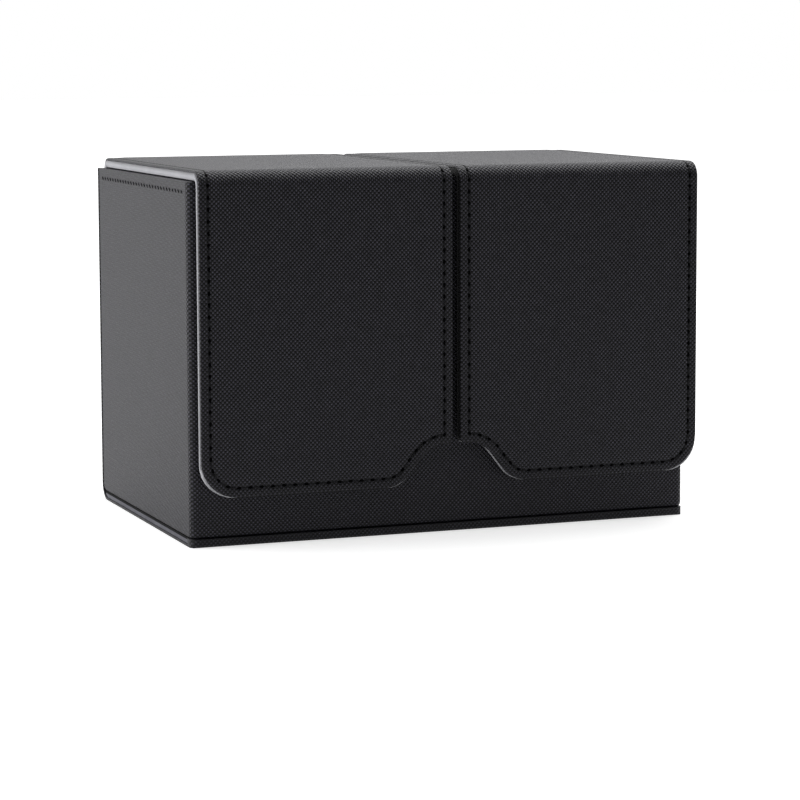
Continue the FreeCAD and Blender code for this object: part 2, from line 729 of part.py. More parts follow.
def make_lid(side, outer_x, slit_x, inward):
    """One lid: top panel, the fold at its front, the flap that hangs from it, and the fold at its back."""
    left_x, right_x = (outer_x, slit_x) if inward > 0 else (slit_x, outer_x)
    across = (left_x, right_x)
    skin_under = s.overall_height - s.skin
    lid_under = s.overall_height - lid_thick
    board_x = (left_x + s.board_margin, right_x - s.board_margin)
    board_y = (lid_front + s.board_margin, lid_back - s.board_margin)

    # Top panel
    skin = block(side + "_lid_sheet", across, (lid_front, lid_back), (skin_under, s.overall_height))
    keep(skin, side + "_lid_skin")
    body = new_body(side + "_lid_lining_body")
    plan = sketch_on(body, side + "_lid_plan", "XY_Plane", lid_under)
    rectangle(plan, across, (lid_front, lid_back))
    pad(body, side + "_lid_pad", plan, s.lid_backing)
    bed = sketch_on(body, side + "_lid_bed", "XY_Plane", skin_under)
    rectangle(bed, board_x, board_y)
    pocket(body, side + "_lid_bed_cut", bed, s.lid_board)
    keep(body, side + "_lid_lining")
    board_z = (skin_under - s.lid_board, skin_under)
    keep(block(side + "_lid_stiffener", board_x, board_y, board_z), side + "_lid_board")

    # Folds: the front one goes with the lid, the rear one stays on the back
    layers = (("skin", ZERO, s.skin, s.skin), ("lining", s.skin, s.lid_backing, s.base_backing))
    for layer, depth, front_thick, rear_thick in layers:
        front_edge = (flap_face, s.overall_height)
        rear_edge = (back_face, s.overall_height)
        make_fold(side + "_front_fold_" + layer, across, front_edge, -1.0, s.front_fold, depth, front_thick)
        make_fold(side + "_rear_fold_" + layer, across, rear_edge, 1.0, rear_fold, depth, rear_thick)

    # Flap
    skin_back = flap_face + s.skin
    body = new_body(side + "_flap_skin_body")
    front = sketch_on(body, side + "_flap_front", "XZ_Plane", -skin_back)
    flap_outline(front, outer_x, slit_x, inward)
    pad(body, side + "_flap_skin_pad", front, s.skin)
    keep(body, side + "_flap_skin")

    body = new_body(side + "_flap_lining_body")
    front = sketch_on(body, side + "_flap_lining_front", "XZ_Plane", -(skin_back + s.lid_backing))
    flap_outline(front, outer_x, slit_x, inward)
    pad(body, side + "_flap_lining_pad", front, s.lid_backing)
    bed = sketch_on(body, side + "_flap_bed", "XZ_Plane", -skin_back)
    flap_outline(bed, outer_x, slit_x, inward, s.board_margin, rounded=False)
    pocket(body, side + "_flap_bed_cut", bed, s.lid_board)
    keep(body, side + "_flap_lining")

    body = new_body(side + "_flap_board_body")
    front = sketch_on(body, side + "_flap_board_front", "XZ_Plane", -(skin_back + s.lid_board))
    flap_outline(front, outer_x, slit_x, inward, s.board_margin, rounded=False)
    pad(body, side + "_flap_board_pad", front, s.lid_board)
    places = flap_magnet_places()[:2] if inward > 0 else flap_magnet_places()[2:]
    seats = []
    discs = []
    for number, x in enumerate(places, start=1):
        start = (x, skin_back + s.lid_board - s.magnet_thick - s.magnet_fit, s.flap_magnet_height)
        seat_name = "%s_flap_seat_%d" % (side, number)
        wide = s.magnet_across + s.magnet_fit * 2
        seats.append(disc(seat_name, "y", start, wide, s.magnet_thick + s.magnet_fit))
        start = (x, skin_back + s.lid_board - s.magnet_thick, s.flap_magnet_height)
        magnet_name = "%s_flap_disc_%d" % (side, number)
        discs.append(disc(magnet_name, "y", start, s.magnet_across, s.magnet_thick))
    keep(cut(side + "_flap_stiffener", body, seats), side + "_flap_board")
    keep(group(side + "_flap_discs", discs), side + "_flap_magnets")


# --- The drawer ---------------------------------------------------------------------------------------


def make_drawer():
    """A slim open-topped drawer: five boards, a leathercloth face, a lining, a magnet and a pull tab."""
    inner_front = drawer_front + s.wall_board
    inner_back = drawer_back - s.wall_board
    inner_left = drawer_left + s.wall_board
    inner_floor = drawer_bottom + s.wall_board
    long_way = (drawer_left, face_back)

    keep(
        block("drawer_floor", long_way, (drawer_front, drawer_back), (drawer_bottom, inner_floor)),
        "drawer_floor_board",
    )
    walls = (inner_floor, trough_top)
    keep(block("drawer_near_wall", long_way, (drawer_front, inner_front), walls), "drawer_near_side_board")
    keep(block("drawer_far_wall", long_way, (inner_back, drawer_back), walls), "drawer_far_side_board")
    blank = block("drawer_end_blank", (drawer_left, inner_left), (inner_front, inner_back), walls)
    seat = disc(
        "drawer_magnet_seat",
        "x",
        (drawer_left, drawer_middle(), s.drawer_magnet_height),
        s.magnet_across + s.magnet_fit * 2,
        s.magnet_thick + s.magnet_fit,
    )
    keep(cut("drawer_end", blank, [seat]), "drawer_end_board")
    start = (drawer_left, drawer_middle(), s.drawer_magnet_height)
    keep(disc("drawer_disc", "x", start, s.magnet_across, s.magnet_thick), "drawer_magnet")

    # Face: a board inside a leathercloth cap that is open at the back
    body = new_body("drawer_face_skin_body")
    face = sketch_on(body, "drawer_face_outline", "YZ_Plane", face_back)
    rectangle(face, (drawer_front, drawer_back), (drawer_bottom, drawer_top), s.skin)
    cap = pad(body, "drawer_face_pad", face, case_right - face_back)
    round_edges(body, "drawer_face_round", cap, s.rim_round, lambda p: near(p.x, case_right))
    inside = sketch_on(body, "drawer_face_inside", "YZ_Plane", face_back)
    face_y = (drawer_front + s.skin, drawer_back - s.skin)
    face_z = (drawer_bottom + s.skin, drawer_top - s.skin)
    rectangle(inside, face_y, face_z)
    pocket(body, "drawer_face_cut", inside, s.wall_board, forwards=True)
    keep(cut("drawer_face_cap", body, [rivet_hole("face_skin_hole")]), "drawer_face_skin")
    blank = block("drawer_face_blank", (face_back, face_back + s.wall_board), face_y, face_z)
    keep(cut("drawer_face_stiffener", blank, [rivet_hole("face_board_hole")]), "drawer_face_board")

    body = new_body("drawer_lining_body")
    plan = sketch_on(body, "drawer_lining_plan", "XY_Plane", inner_floor)
    rectangle(plan, (inner_left, face_back), (inner_front, inner_back))
    pad(body, "drawer_lining_block", plan, trough_top - inner_floor)
    trough = sketch_on(body, "drawer_trough", "XY_Plane", trough_top)
    rectangle(
        trough,
        (inner_left + s.lining, face_back - s.lining),
        (inner_front + s.lining, inner_back - s.lining),
        s.pocket_corner,
    )
    pocket(body, "drawer_trough_cut", trough, trough_top - inner_floor - s.lining)
    keep(body, "drawer_lining")


def rivet_hole(name):
    """The hole that the pull tab's rivet passes through, in whatever lies in its way."""
    start = (face_back, drawer_middle(), s.tab_rivet_height)
    return disc(name, "x", start, s.rivet_shank, s.wall_board + s.skin + s.tab_thick)


def make_pull_tab():
    """A leathercloth tab that hangs flat on the drawer's face from one domed rivet."""
    middle = drawer_middle()
    body = new_body("pull_tab_body")
    strap = sketch_on(body, "pull_tab_outline", "YZ_Plane", case_right)
    top = s.tab_rivet_height + s.tab_width / 2
    half = s.tab_width / 2
    rectangle(strap, (middle - half, middle + half), (top - s.tab_length, top), half - s.full_round_short)
    pad(body, "pull_tab_pad", strap, s.tab_thick)
    keep(cut("pull_tab_strap", body, [rivet_hole("tab_hole")]), "pull_tab")

    # Rivet: shank through tab, skin and board, with a domed head outside
    body = new_body("pull_tab_rivet_body")
    section = sketch_on(body, "rivet_section", "XZ_Plane", -middle)
    seat = case_right + s.tab_thick
    axis_z = s.tab_rivet_height
    outline(
        section,
        [
            (face_back, axis_z, None),
            (face_back, axis_z + s.rivet_shank / 2, None),
            (seat, axis_z + s.rivet_shank / 2, None),
            (seat, axis_z + s.rivet_head / 2, None),
            (seat + s.rivet_dome, axis_z + s.rivet_head / 2, s.rivet_dome - s.full_round_short),
            (seat + s.rivet_dome, axis_z, None),
        ],
    )
    turn = body.newObject("PartDesign::Revolution", "rivet_turn")
    turn.Profile = section
    turn.Angle = 360
    crown = seat + s.rivet_dome
    line = Part.LineSegment(vector(face_back.value, axis_z.value), vector(crown.value, axis_z.value))
    axis = section.addGeometry(line, True)
    pin_point(section, axis, 1, face_back, axis_z)
    pin_point(section, axis, 2, crown, axis_z)
    turn.ReferenceAxis = (section, ["Axis0"])
    keep(body, "pull_tab_rivet")


# --- Build, test and write ----------------------------------------------------------------------------

make_case_skin()
make_wall_boards()
make_floor_board()
make_inner_boards()
make_bay_lining()
make_case_magnets()
make_rear_cover()
make_lid("left", lids_left, slit_middle - s.lid_slit / 2, 1.0)
make_lid("right", lids_right, slit_middle + s.lid_slit / 2, -1.0)
make_drawer()
make_pull_tab()
doc.recompute()

for obj in doc.Objects:
    if "Invalid" in obj.State or "Error" in obj.State:
        raise RuntimeError("%s failed: %s" % (obj.Label, obj.State))

os.makedirs("parts", exist_ok=True)
for piece in pieces:
    if piece.Shape.isNull() or not piece.Shape.isValid():
        raise RuntimeError("%s has no valid shape" % piece.Label)
    piece.Shape.exportStep("parts/%s.step" % piece.Label)
    box = piece.Shape.optimalBoundingBox()
    print(
        "%-26s %d solid(s) %9.1f mm3  x %.1f..%.1f  y %.1f..%.1f  z %.1f..%.1f"
        % (
            piece.Label,
            len(piece.Shape.Solids),
            piece.Shape.Volume,
            box.XMin,
            box.XMax,
            box.YMin,
            box.YMax,
            box.ZMin,
            box.ZMax,
        )
    )
print("%d pieces" % len(pieces))
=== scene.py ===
import math
import bmesh
import bpy
from mathutils import Euler, Matrix, Vector


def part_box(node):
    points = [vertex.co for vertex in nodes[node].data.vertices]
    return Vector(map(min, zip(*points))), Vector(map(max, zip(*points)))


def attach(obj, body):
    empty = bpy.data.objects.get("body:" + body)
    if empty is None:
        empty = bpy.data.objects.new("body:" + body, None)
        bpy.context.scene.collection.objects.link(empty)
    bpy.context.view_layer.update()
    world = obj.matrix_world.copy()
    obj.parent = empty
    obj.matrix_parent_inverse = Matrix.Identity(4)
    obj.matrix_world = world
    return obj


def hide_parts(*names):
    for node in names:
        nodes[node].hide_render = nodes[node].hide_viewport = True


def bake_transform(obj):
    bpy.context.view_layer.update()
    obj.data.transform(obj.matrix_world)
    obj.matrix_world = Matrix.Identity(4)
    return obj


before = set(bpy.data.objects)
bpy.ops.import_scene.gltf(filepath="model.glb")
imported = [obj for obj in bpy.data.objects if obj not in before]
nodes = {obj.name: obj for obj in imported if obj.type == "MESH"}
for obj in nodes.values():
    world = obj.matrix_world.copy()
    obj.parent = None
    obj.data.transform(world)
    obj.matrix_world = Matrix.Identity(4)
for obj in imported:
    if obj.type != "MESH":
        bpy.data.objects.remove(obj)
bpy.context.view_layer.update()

# Double card box: a case with two lined bays, a slim drawer in its right wall, and a sewn cover of embossed
# leathercloth whose two halves fold over as lids with front flaps. Metres, +Z up, the flaps face -Y.

mm = 0.001
slitMiddle = (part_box("left_lid_skin")[1].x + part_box("right_lid_skin")[0].x) / 2
print("frame loaded:", len(nodes), "nodes")

# ---- camera
view = {"focalPixels": 2801.9, "imagePixels": 800, "centreAbove": 50.0,
        "yaw": 20.81, "pitch": 6.27, "roll": -0.2, "place": (-295.5, -784.5, 139.8)}
camData = bpy.data.cameras.new("camera")
camData.sensor_width = 36.0
camData.lens = view["focalPixels"] / view["imagePixels"] * camData.sensor_width
camData.shift_y = -view["centreAbove"] / view["imagePixels"]
camData.clip_start = 0.01
camera = bpy.data.objects.new("camera", camData)
camera.location = Vector(view["place"]) * mm
aimed = Euler((math.radians(90 - view["pitch"]), 0, math.radians(-view["yaw"]))).to_matrix()
camera.rotation_euler = (aimed @ Matrix.Rotation(math.radians(view["roll"]), 3, "Z")).to_euler()
bpy.context.scene.collection.objects.link(camera)
bpy.context.scene.camera = camera


# ---- node helpers
def newMaterial(name):
    # an empty material with its principled shader and output
    made = bpy.data.materials.new(name)
    made.use_nodes = True
    tree = made.node_tree
    tree.nodes.clear()
    output = tree.nodes.new("ShaderNodeOutputMaterial")
    shader = tree.nodes.new("ShaderNodeBsdfPrincipled")
    tree.links.new(shader.outputs["BSDF"], output.inputs["Surface"])
    return made, tree, shader


def feed(tree, socket, value):
    # a number, a vector or another node's output into a socket
    if isinstance(value, bpy.types.NodeSocket):
        tree.links.new(value, socket)
    else:
        socket.default_value = value


def maths(tree, operation, first, second=0.0, third=None, clamp=False):
    node = tree.nodes.new("ShaderNodeMath")
    node.operation = operation
    node.use_clamp = clamp
    feed(tree, node.inputs[0], first)
    feed(tree, node.inputs[1], second)
    if third is not None:
        feed(tree, node.inputs[2], third)
    return node.outputs[0]


def between(tree, value, low, high, lowOut=0.0, highOut=1.0):
    # a smooth step from lowOut to highOut as the value goes from low to high
    node = tree.nodes.new("ShaderNodeMapRange")
    node.interpolation_type = "SMOOTHSTEP"
    for name, number in (("From Min", low), ("From Max", high), ("To Min", lowOut), ("To Max", highOut)):
        node.inputs[name].default_value = number
    feed(tree, node.inputs["Value"], value)
    return node.outputs["Result"]


def noise(tree, vector, size, detail=2.0, roughness=0.5):
    node = tree.nodes.new("ShaderNodeTexNoise")
    node.inputs["Scale"].default_value = 1.0 / size
    node.inputs["Detail"].default_value = detail
    node.inputs["Roughness"].default_value = roughness
    feed(tree, node.inputs["Vector"], vector)
    return node.outputs["Fac"]


def mixed(tree, amount, first, second):
    node = tree.nodes.new("ShaderNodeMix")
    node.data_type = "RGBA"
    feed(tree, node.inputs["Factor"], amount)
    feed(tree, node.inputs["A"], first)
    feed(tree, node.inputs["B"], second)
    return node.outputs["Result"]


def bump(tree, height, distance, strength=1.0, normal=None):
    node = tree.nodes.new("ShaderNodeBump")
    node.inputs["Distance"].default_value = distance
    node.inputs["Strength"].default_value = strength
    feed(tree, node.inputs["Height"], height)
    if normal is not None:
        feed(tree, node.inputs["Normal"], normal)
    return node.outputs["Normal"]


squareOn = 0.7  # how far a face's normal must point along an axis to lie on that side


def facingPlane(tree):
    # object coordinates laid flat on whichever side a face looks to, for sheet glued on straight walls
    coords = tree.nodes.new("ShaderNodeTexCoord")
    place = tree.nodes.new("ShaderNodeSeparateXYZ")
    facing = tree.nodes.new("ShaderNodeSeparateXYZ")
    tree.links.new(coords.outputs["Object"], place.inputs[0])
    tree.links.new(coords.outputs["Normal"], facing.inputs[0])
    side = maths(tree, "GREATER_THAN", maths(tree, "ABSOLUTE", facing.outputs["X"]), squareOn)
    level = maths(tree, "GREATER_THAN", maths(tree, "ABSOLUTE", facing.outputs["Z"]), squareOn)
    across = maths(tree, "ADD", maths(tree, "MULTIPLY", place.outputs["Y"], side),
                   maths(tree, "MULTIPLY", place.outputs["X"], maths(tree, "SUBTRACT", 1.0, side)))
    along = maths(tree, "ADD", maths(tree, "MULTIPLY", place.outputs["Y"], level),
                  maths(tree, "MULTIPLY", place.outputs["Z"], maths(tree, "SUBTRACT", 1.0, level)))
    return coords.outputs["Object"], across, along, place


# ---- leathercloth
# the weave's colours: the dark pits are painted shade in its hollows and the light tops are a painted
# highlight on its crowns, over the charcoal body; the darkening along the seam is painted shade in the sewn
# groove
cloth = {"weave": 1.25 * mm, "shadedPit": (0.0004, 0.0004, 0.0005, 1), "body": (0.0045, 0.0044, 0.0058, 1),
         "top": (0.082, 0.079, 0.106, 1), "roughness": 0.52, "relief": 0.12 * mm, "specular": 0.28,
         "patches": 3.0 * mm, "patchDepth": (0.65, 1.1), "wear": 0.5 * mm, "grain": 0.28 * mm,
         "grainRelief": 0.012 * mm, "seamCore": 0.15 * mm, "seamWidth": 0.75 * mm, "grooveShade": 0.45,
         "borderDark": 0.12, "borderWeave": 0.9, "lipHeight": 2.5 * mm, "lipWeave": 0.7}


def leathercloth(name, onPanel):
    # onPanel: the piece carries its flat pattern as a UV map and its distance from the seam as an attribute
    made, tree, shader = newMaterial(name)
    turns = 2 * math.pi / cloth["weave"]
    if onPanel:
        flat = tree.nodes.new("ShaderNodeUVMap")
        flat.uv_map = "pattern"
        parts = tree.nodes.new("ShaderNodeSeparateXYZ")
        tree.links.new(flat.outputs[0], parts.inputs[0])
        across, along = parts.outputs["X"], parts.outputs["Y"]
        where = flat.outputs[0]
    else:
        where, across, along, place = facingPlane(tree)
    wave = maths(tree, "MULTIPLY", maths(tree, "COSINE", maths(tree, "MULTIPLY", across, turns)),
                 maths(tree, "COSINE", maths(tree, "MULTIPLY", along, turns)))
    uneven = noise(tree, where, cloth["patches"], 3.0)
    weave = maths(tree, "MULTIPLY", wave, between(tree, uneven, 0.2, 0.8, *cloth["patchDepth"]))
    if onPanel:
        off = tree.nodes.new("ShaderNodeAttribute")
        off.attribute_name = "seamOff"
        aside = maths(tree, "ABSOLUTE", off.outputs["Fac"])
        seam = between(tree, aside, cloth["seamCore"], cloth["seamWidth"], cloth["grooveShade"], 0.0)
        pressed = between(tree, off.outputs["Fac"], 0.3 * mm, 1.3 * mm, cloth["borderWeave"], 1.0)
    else:
        # the turned-up lip of the base is pressed flatter
        lipTop = cloth["lipHeight"]
        pressed = between(tree, place.outputs["Z"], lipTop, lipTop + 0.5 * mm, cloth["lipWeave"], 1.0)
    weave = maths(tree, "MULTIPLY", weave, pressed)
    # painted shade in the weave's pits and a painted highlight on its tops
    colour = mixed(tree, between(tree, weave, -0.95, 0.0), cloth["shadedPit"], cloth["body"])
    colour = mixed(tree, between(tree, weave, 0.0, 0.95), colour, cloth["top"])
    if onPanel:
        # painted shade along the sewn groove
        colour = mixed(tree, seam, colour, cloth["shadedPit"])
        inBorder = between(tree, off.outputs["Fac"], -0.2 * mm, 0.4 * mm, cloth["borderDark"], 0.0)
        colour = mixed(tree, inBorder, colour, cloth["shadedPit"])
    feed(tree, shader.inputs["Base Color"], colour)
    rough = between(tree, noise(tree, where, cloth["wear"], 2.0), 0.25, 0.75,
                    cloth["roughness"] - 0.05, cloth["roughness"] + 0.07)
    feed(tree, shader.inputs["Roughness"], rough)
    shader.inputs["Specular IOR Level"].default_value = cloth["specular"]
    normal = bump(tree, weave, cloth["relief"])
    normal = bump(tree, noise(tree, where, cloth["grain"], 2.0), cloth["grainRelief"], 1.0, normal)
    feed(tree, shader.inputs["Normal"], normal)
    return made


nap = {"blotch": 9 * mm, "grain": 0.22 * mm, "relief": 0.05 * mm, "roughness": 0.93, "specular": 0.2,
       "sheenRoughness": 0.6, "shadeBlack": (0.0015, 0.0015, 0.002, 1)}


def microfibre(name, colour, deep, shaded=None, sheen=0.15):
    # short napped lining: soft blotches, a fine fibre grain and a faint sheen; shaded is an axis with the
    # level and the reach of a band of painted shade, in black, across it
    made, tree, shader = newMaterial(name)
    coords = tree.nodes.new("ShaderNodeTexCoord")
    where = coords.outputs["Object"]
    blotch = noise(tree, where, nap["blotch"], 3.0)
    grain = noise(tree, where, nap["grain"], 3.0, 0.7)
    shade = maths(tree, "ADD", maths(tree, "MULTIPLY", blotch, 0.5), maths(tree, "MULTIPLY", grain, 0.5))
    tone = mixed(tree, between(tree, shade, 0.3, 0.7), deep, colour)
    if shaded is not None:
        axis, level, reach = shaded
        parts = tree.nodes.new("ShaderNodeSeparateXYZ")
        tree.links.new(where, parts.inputs[0])
        away = maths(tree, "ABSOLUTE", maths(tree, "SUBTRACT", parts.outputs[axis], level))
        # painted shade: the tone turns black within the reach of the level
        tone = mixed(tree, between(tree, away, reach, reach * 1.1, 1.0, 0.0), tone, nap["shadeBlack"])
    feed(tree, shader.inputs["Base Color"], tone)
    shader.inputs["Roughness"].default_value = nap["roughness"]
    shader.inputs["Specular IOR Level"].default_value = nap["specular"]
    shader.inputs["Sheen Weight"].default_value = sheen
    shader.inputs["Sheen Roughness"].default_value = nap["sheenRoughness"]
    feed(tree, shader.inputs["Normal"], bump(tree, grain, nap["relief"]))
    return made


def boardPaper(name, colour, deep):
    # wrapped or raw board: paper fibres and a slight mottling
    made, tree, shader = newMaterial(name)
    coords = tree.nodes.new("ShaderNodeTexCoord")
    where = coords.outputs["Object"]
    fibre = noise(tree, where, 0.6 * mm, 4.0, 0.7)
    feed(tree, shader.inputs["Base Color"], mixed(tree, between(tree, fibre, 0.3, 0.7), deep, colour))
    shader.inputs["Roughness"].default_value = 0.8
    shader.inputs["Specular IOR Level"].default_value = 0.3
    feed(tree, shader.inputs["Normal"], bump(tree, fibre, 0.03 * mm))
    return made


def plated(name, colour, roughness):
    # nickel plating with light handling marks
    made, tree, shader = newMaterial(name)
    coords = tree.nodes.new("ShaderNodeTexCoord")
    mark = noise(tree, coords.outputs["Object"], 1.5 * mm, 4.0)
    shader.inputs["Base Color"].default_value = colour
    shader.inputs["Metallic"].default_value = 1.0
    feed(tree, shader.inputs["Roughness"], between(tree, mark, 0.3, 0.8, roughness, roughness + 0.15))
    feed(tree, shader.inputs["Normal"], bump(tree, mark, 0.01 * mm))
    return made


def sewingThread(name, colour, light, specular):
    # matt polyester thread with the unevenness of its plies
    made, tree, shader = newMaterial(name)
    coords = tree.nodes.new("ShaderNodeTexCoord")
    ply = noise(tree, coords.outputs["Object"], 0.16 * mm, 2.0)
    feed(tree, shader.inputs["Base Color"], mixed(tree, between(tree, ply, 0.35, 0.65), colour, light))
    shader.inputs["Roughness"].default_value = 0.7
    shader.inputs["Specular IOR Level"].default_value = specular
    feed(tree, shader.inputs["Normal"], bump(tree, ply, 0.04 * mm))
    return made


panelCloth = leathercloth("embossedClothPanel", True)
wallCloth = leathercloth("embossedClothWall", False)
# painted shade: the pale backing turns black beside the slit, which lies in shadow, and the base's backing
# turns black along its top edge, in the shadow gap under the case
paleLining = microfibre("paleLining", (0.56, 0.56, 0.59, 1), (0.47, 0.47, 0.50, 1),
                        ("X", slitMiddle, 1.45 * mm))
# the base's backing is a darker, shaded copy of the pale backing: painted shade where it lies low by the
# floor
shadedBaseLining = microfibre("shadedBaseLining", (0.22, 0.22, 0.245, 1), (0.13, 0.13, 0.15, 1),
                        ("Z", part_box("cover_lining")[1].z, 0.60 * mm), 0.0)
greyLining = microfibre("greyLining", (0.43, 0.43, 0.46, 1), (0.34, 0.34, 0.37, 1))
blackPaper = boardPaper("blackPaper", (0.020, 0.020, 0.022, 1), (0.012, 0.012, 0.013, 1))
greyBoard = boardPaper("greyBoard", (0.26, 0.24, 0.21, 1), (0.19, 0.175, 0.155, 1))
nickel = plated("nickel", (0.60, 0.59, 0.57, 1), 0.22)
darkThread = sewingThread("darkThread", (0.0045, 0.0045, 0.0055, 1), (0.011, 0.011, 0.013, 1), 0.2)
# painted shade: the needle holes are near-black beads that stand for the shade in each hole
needleHoleShade = sewingThread("needleHoleShade", (0.0004, 0.0004, 0.0005, 1), (0.0008, 0.0008, 0.0010, 1), 0.03)
print("materials made")


# ---- sheet helpers
def newPiece(name, bm, material):
    # a smooth mesh object from a bmesh, linked to the scene
    mesh = bpy.data.meshes.new(name)
    for face in bm.faces:
        face.smooth = True
    bm.to_mesh(mesh)
    bm.free()
    mesh.materials.append(material)
    made = bpy.data.objects.new(name, mesh)
    bpy.context.scene.collection.objects.link(made)
    return made


def roundedRing(bm, corners, height, segments=8):
    # a closed ring through corners (x, y, radius); each radius is a vertex bevel. Returns its vertices in
    # order and its face
    others = set(bm.faces)
    verts = [bm.verts.new((x, y, height)) for x, y, radius in corners]
    bm.faces.new(verts)
    for i, (x, y, radius) in enumerate(corners):
        if radius > 0:
            here = Vector((x, y))
            arriving = here - Vector(corners[i - 1][:2])
            leaving = Vector(corners[(i + 1) % len(corners)][:2]) - here
            reach = radius * math.tan(arriving.angle(leaving) / 2)
            bmesh.ops.bevel(bm, geom=[verts[i]], offset=reach, offset_type="OFFSET", segments=segments,
                            profile=0.5, affect="VERTICES", material=-1)
    face = [f for f in bm.faces if f not in others][0]
    ring = [loop.vert for loop in face.loops]
    first = min(range(len(ring)), key=lambda k: (ring[k].co.xy - Vector(corners[0][:2])).length)
    return ring[first:] + ring[:first], face


def drawnIn(corners, margin):
    # the same outline moved inwards by a margin; outer bends tighten and inner bends open
    count = len(corners)
    turn = sum((corners[i][0] * corners[(i + 1) % count][1] - corners[(i + 1) % count][0] * corners[i][1])
               for i in range(count))
    hand = 1 if turn > 0 else -1
    moved = []
    for i, (x, y, radius) in enumerate(corners):
        here = Vector((x, y))
        arriving = (here - Vector(corners[i - 1][:2])).normalized()
        leaving = (Vector(corners[(i + 1) % count][:2]) - here).normalized()
        inA = Vector((-arriving.y, arriving.x)) * hand
        inB = Vector((-leaving.y, leaving.x)) * hand
        shift = (inA + inB) / (1 + inA.dot(inB)) * margin
        bend = arriving.cross(leaving) * hand
        newRadius = 0 if radius == 0 else (max(radius - margin, 0.35 * mm) if bend > 0 else radius + margin)
        moved.append((x + shift.x, y + shift.y, newRadius))
    return moved


def seamPath(corners, inset):
    # the line that a seam follows: the points of the outline moved inwards
    guide = bmesh.new()
    ring, face = roundedRing(guide, drawnIn(corners, inset), 0.0)
    path = [vert.co.copy() for vert in ring]
    guide.free()
    return path


def lengthOf(path):
    return sum((b - a).length for a, b in zip(path, path[1:]))


def sheetPanel(name, corners, rows, material, keep, cuts, place, seamInset=None):
    # a flat pattern as rings of (margin, height) from its underside edge over its top, cut at each (level,
    # side to clear) of keep, sliced at cuts, and laid in place along its folds
    bm = bmesh.new()
    offLayer = bm.verts.layers.float.new("seamOff")
    before = None
    faces = []
    for margin, height in rows:
        ring, face = roundedRing(bm, drawnIn(corners, margin) if margin else corners, height)
        for vert in ring:
            vert[offLayer] = margin - seamInset if seamInset is not None else 1.0
        edges = list(face.edges)
        faces.append(face)
        if before is not None:
            bmesh.ops.bridge_loops(bm, edges=before + edges)
        before = edges
    bmesh.ops.delete(bm, geom=faces[1:-1], context="FACES_ONLY")
    for level, cleared in keep:
        bmesh.ops.bisect_plane(bm, geom=bm.verts[:] + bm.edges[:] + bm.faces[:], plane_co=(0, level, 0),
                               plane_no=(0, cleared, 0), clear_outer=True)
        borders = [edge for edge in bm.edges if edge.is_boundary]
        bmesh.ops.holes_fill(bm, edges=borders)
    for level in cuts:
        bmesh.ops.bisect_plane(bm, geom=bm.verts[:] + bm.edges[:] + bm.faces[:], plane_co=(0, level, 0),
                               plane_no=(0, 1, 0))
    bmesh.ops.recalc_face_normals(bm, faces=bm.faces[:])
    pattern = bm.loops.layers.uv.new("pattern")
    for face in bm.faces:
        for loop in face.loops:
            loop[pattern].uv = loop.vert.co.xy
    bmesh.ops.triangulate(bm, faces=[f for f in bm.faces if len(f.verts) > 4])
    for vert in bm.verts:
        vert.co = place(vert.co)
    bmesh.ops.recalc_face_normals(bm, faces=bm.faces[:])
    made = newPiece(name, bm, material)
    weighted = made.modifiers.new("evenShading", "WEIGHTED_NORMAL")
    weighted.keep_sharp = False
    return made


def alongFolds(start, heading, inside, runs):
    # lays flat (x, run, height) along straight and turned runs in the YZ plane, each a (radius, length or
    # angle); height is above the outer face
    pieces = []
    point, ahead, inward, done = Vector(start), Vector(heading), Vector(inside), 0.0
    for radius, amount in runs:
        if radius == 0:
            pieces.append((done, done + amount, 0, point.copy(), ahead.copy(), inward.copy()))
            point = point + ahead * amount
            done += amount
        else:
            centre = point + inward * radius
            length = radius * amount
            pieces.append((done, done + length, radius, centre, ahead.copy(), inward.copy()))
            turnedOut = ahead * math.sin(amount) - inward * math.cos(amount)
            ahead = ahead * math.cos(amount) + inward * math.sin(amount)
            inward = -turnedOut
            point = centre + turnedOut * radius
            done += length

    def place(co):
        for begin, end, radius, origin, ahead, inward in pieces:
            if co.y <= end or end >= done - 1e-9:
                break
        step = co.y - begin
        if radius == 0:
            spot = origin + ahead * step - inward * co.z
        else:
            turn = step / radius
            spot = origin + (ahead * math.sin(turn) - inward * math.cos(turn)) * (radius + co.z)
        return Vector((co.x, spot.x, spot.y))
    return place


def evenSteps(low, high, step):
    count = max(1, round((high - low) / step))
    return [low + (high - low) * k / count for k in range(1, count)]


# thread and hole are the thickness, width and length of a bead; the thread dips into a hole at each end,
# whose darkness is painted shade on a near-black bead
stitch = {"beadSides": 6, "beadRings": 5,
          "pitch": 3.3 * mm, "sunk": 0.20 * mm, "thread": (0.38 * mm, 0.55 * mm, 2.5 * mm),
          "threadHeight": 0.04 * mm, "hole": (0.24 * mm, 0.85 * mm, 1.35 * mm), "holeHeight": 0.10 * mm,
          "innerLift": 0.02 * mm}


def bead(bm, frameOf, size):
    # a long low-poly bead along the frame's x, as thick as size says along its z. Returns its vertices
    thick, width, length = size
    shape = frameOf @ Matrix.Rotation(math.pi / 2, 4, "Y")
    shape = shape @ Matrix.Diagonal((thick / 2, width / 2, length / 2, 1))
    made = bmesh.ops.create_uvsphere(bm, u_segments=stitch["beadSides"], v_segments=stitch["beadRings"],
                                     radius=1.0, matrix=shape)
    return made["verts"]


def beadRow(bm, path, place, pitch, first, low, high, height, size):
    # beads of one size at every pitch along a flat path, where it lies between low and high, laid in place
    # with the sheet. Returns their count
    done = 0.0
    count = 0
    wanted = first
    for a, b in zip(path, path[1:]):
        span = (b - a).length
        while wanted <= done + span and span > 0:
            spot = a + (b - a) * ((wanted - done) / span)
            if low < spot.y < high:
                angle = math.atan2(b.y - a.y, b.x - a.x)
                turned = Matrix.Translation((spot.x, spot.y, height)) @ Matrix.Rotation(angle, 4, "Z")
                for vert in bead(bm, turned, size):
                    vert.co = place(vert.co)
                count += 1
            wanted += pitch
        done += span
    return count


